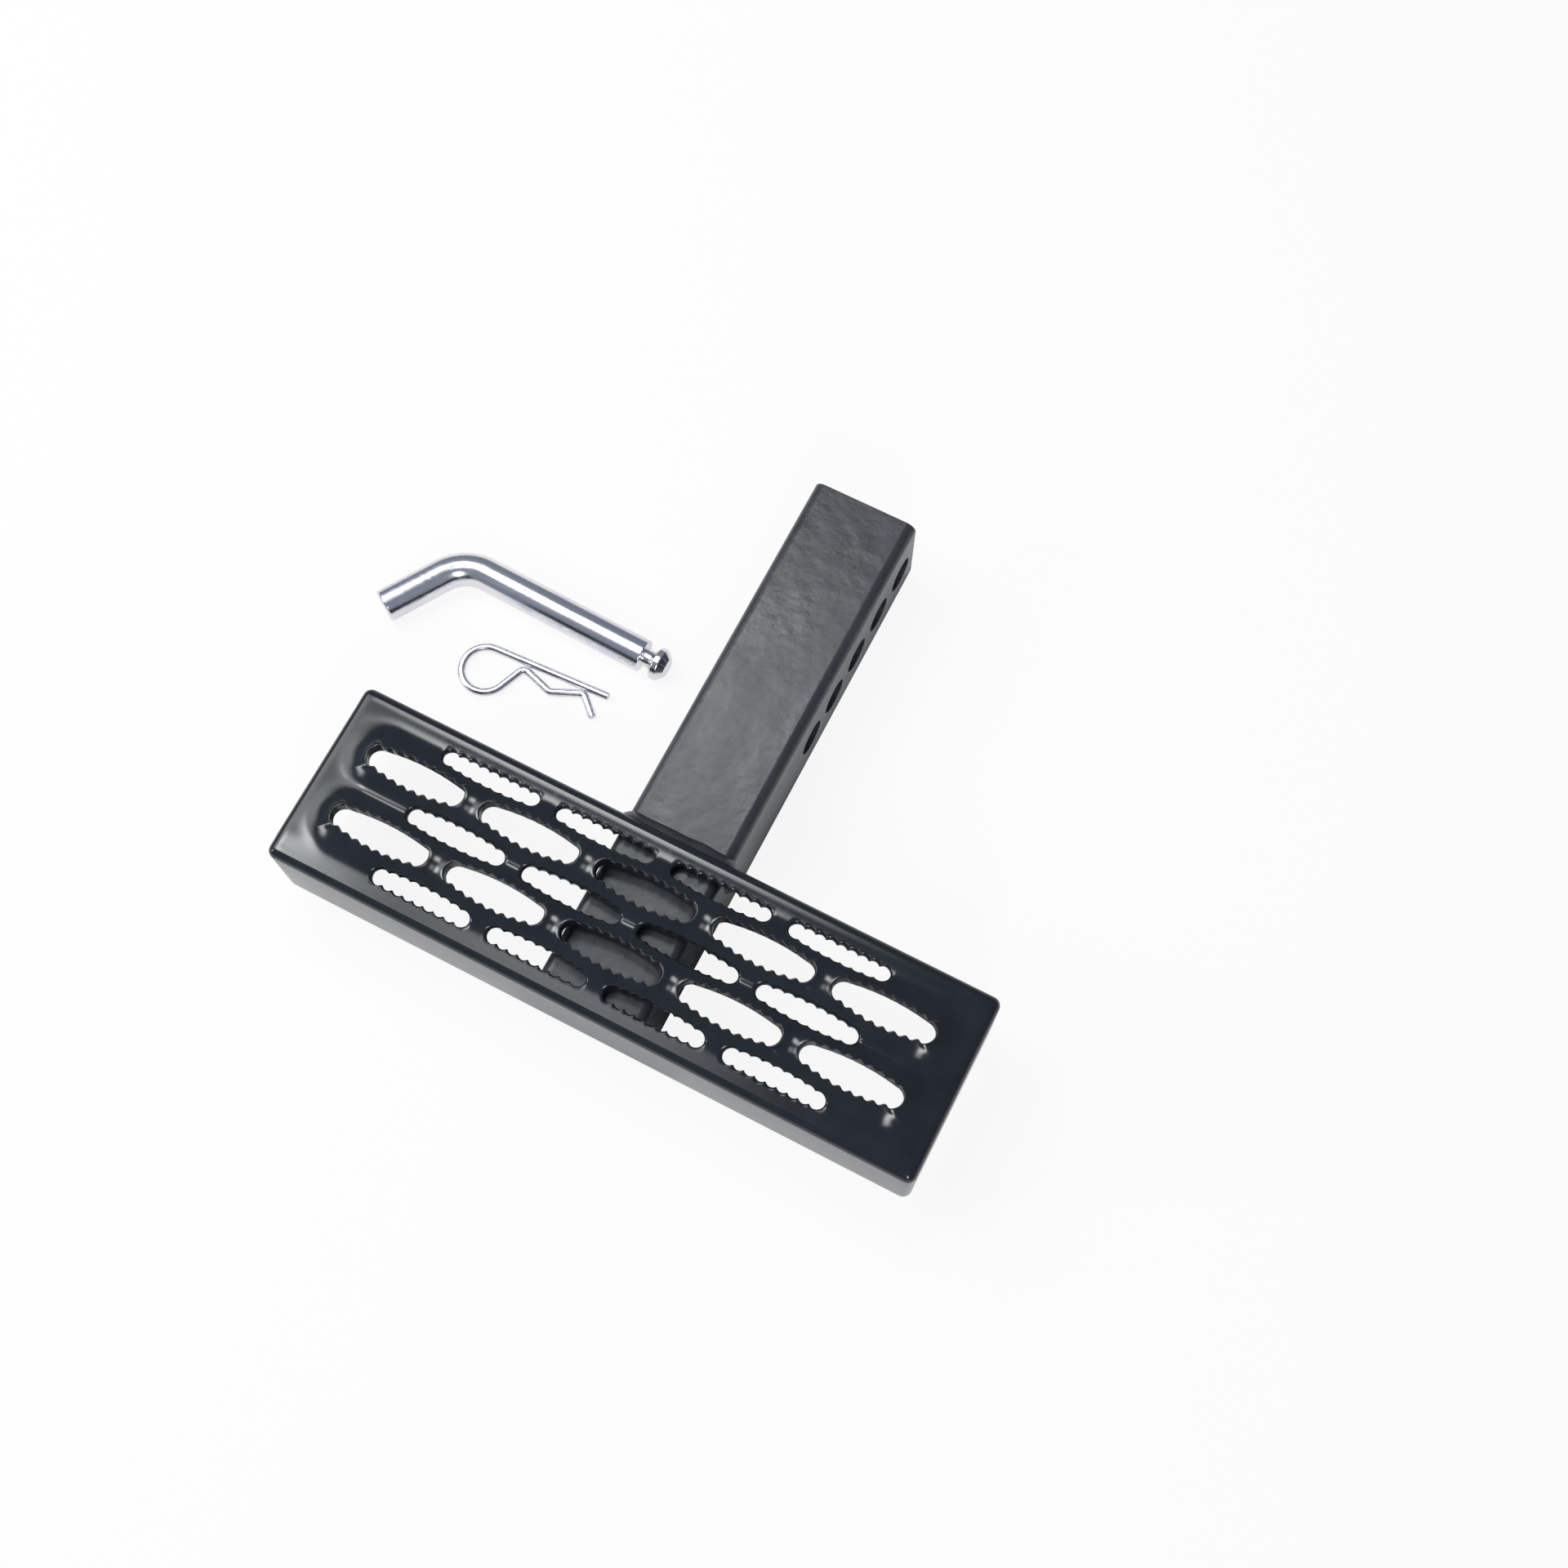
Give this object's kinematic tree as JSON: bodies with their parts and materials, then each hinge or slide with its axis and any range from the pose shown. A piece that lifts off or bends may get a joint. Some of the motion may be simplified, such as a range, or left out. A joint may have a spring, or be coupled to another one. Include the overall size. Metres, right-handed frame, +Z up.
{
  "type": "hitch receiver step",
  "caption": "Step for a tow hitch receiver: a pressed grip tread with serrated openings, welded on a square tube shank with cross pin holes, and its bent hitch pin and wire clip.",
  "frame": {"origin": "on the shank's underside, at the middle of its length and width", "axes": "+X along the tread to the right as seen from behind the step, +Y along the shank towards the vehicle, +Z up"},
  "size_m": [0.3459, 0.2667, 0.0634],
  "materials": {
    "powder_coat": "satin black powder coat over steel",
    "plated_steel": "bright zinc plating"
  },
  "bodies": {
    "root": {"tread": "powder_coat", "shank_tube": "powder_coat", "rear_weld": "powder_coat", "front_weld": "powder_coat", "hitch_pin": "plated_steel", "pin_clip": "plated_steel"}
  },
  "joints": []
}
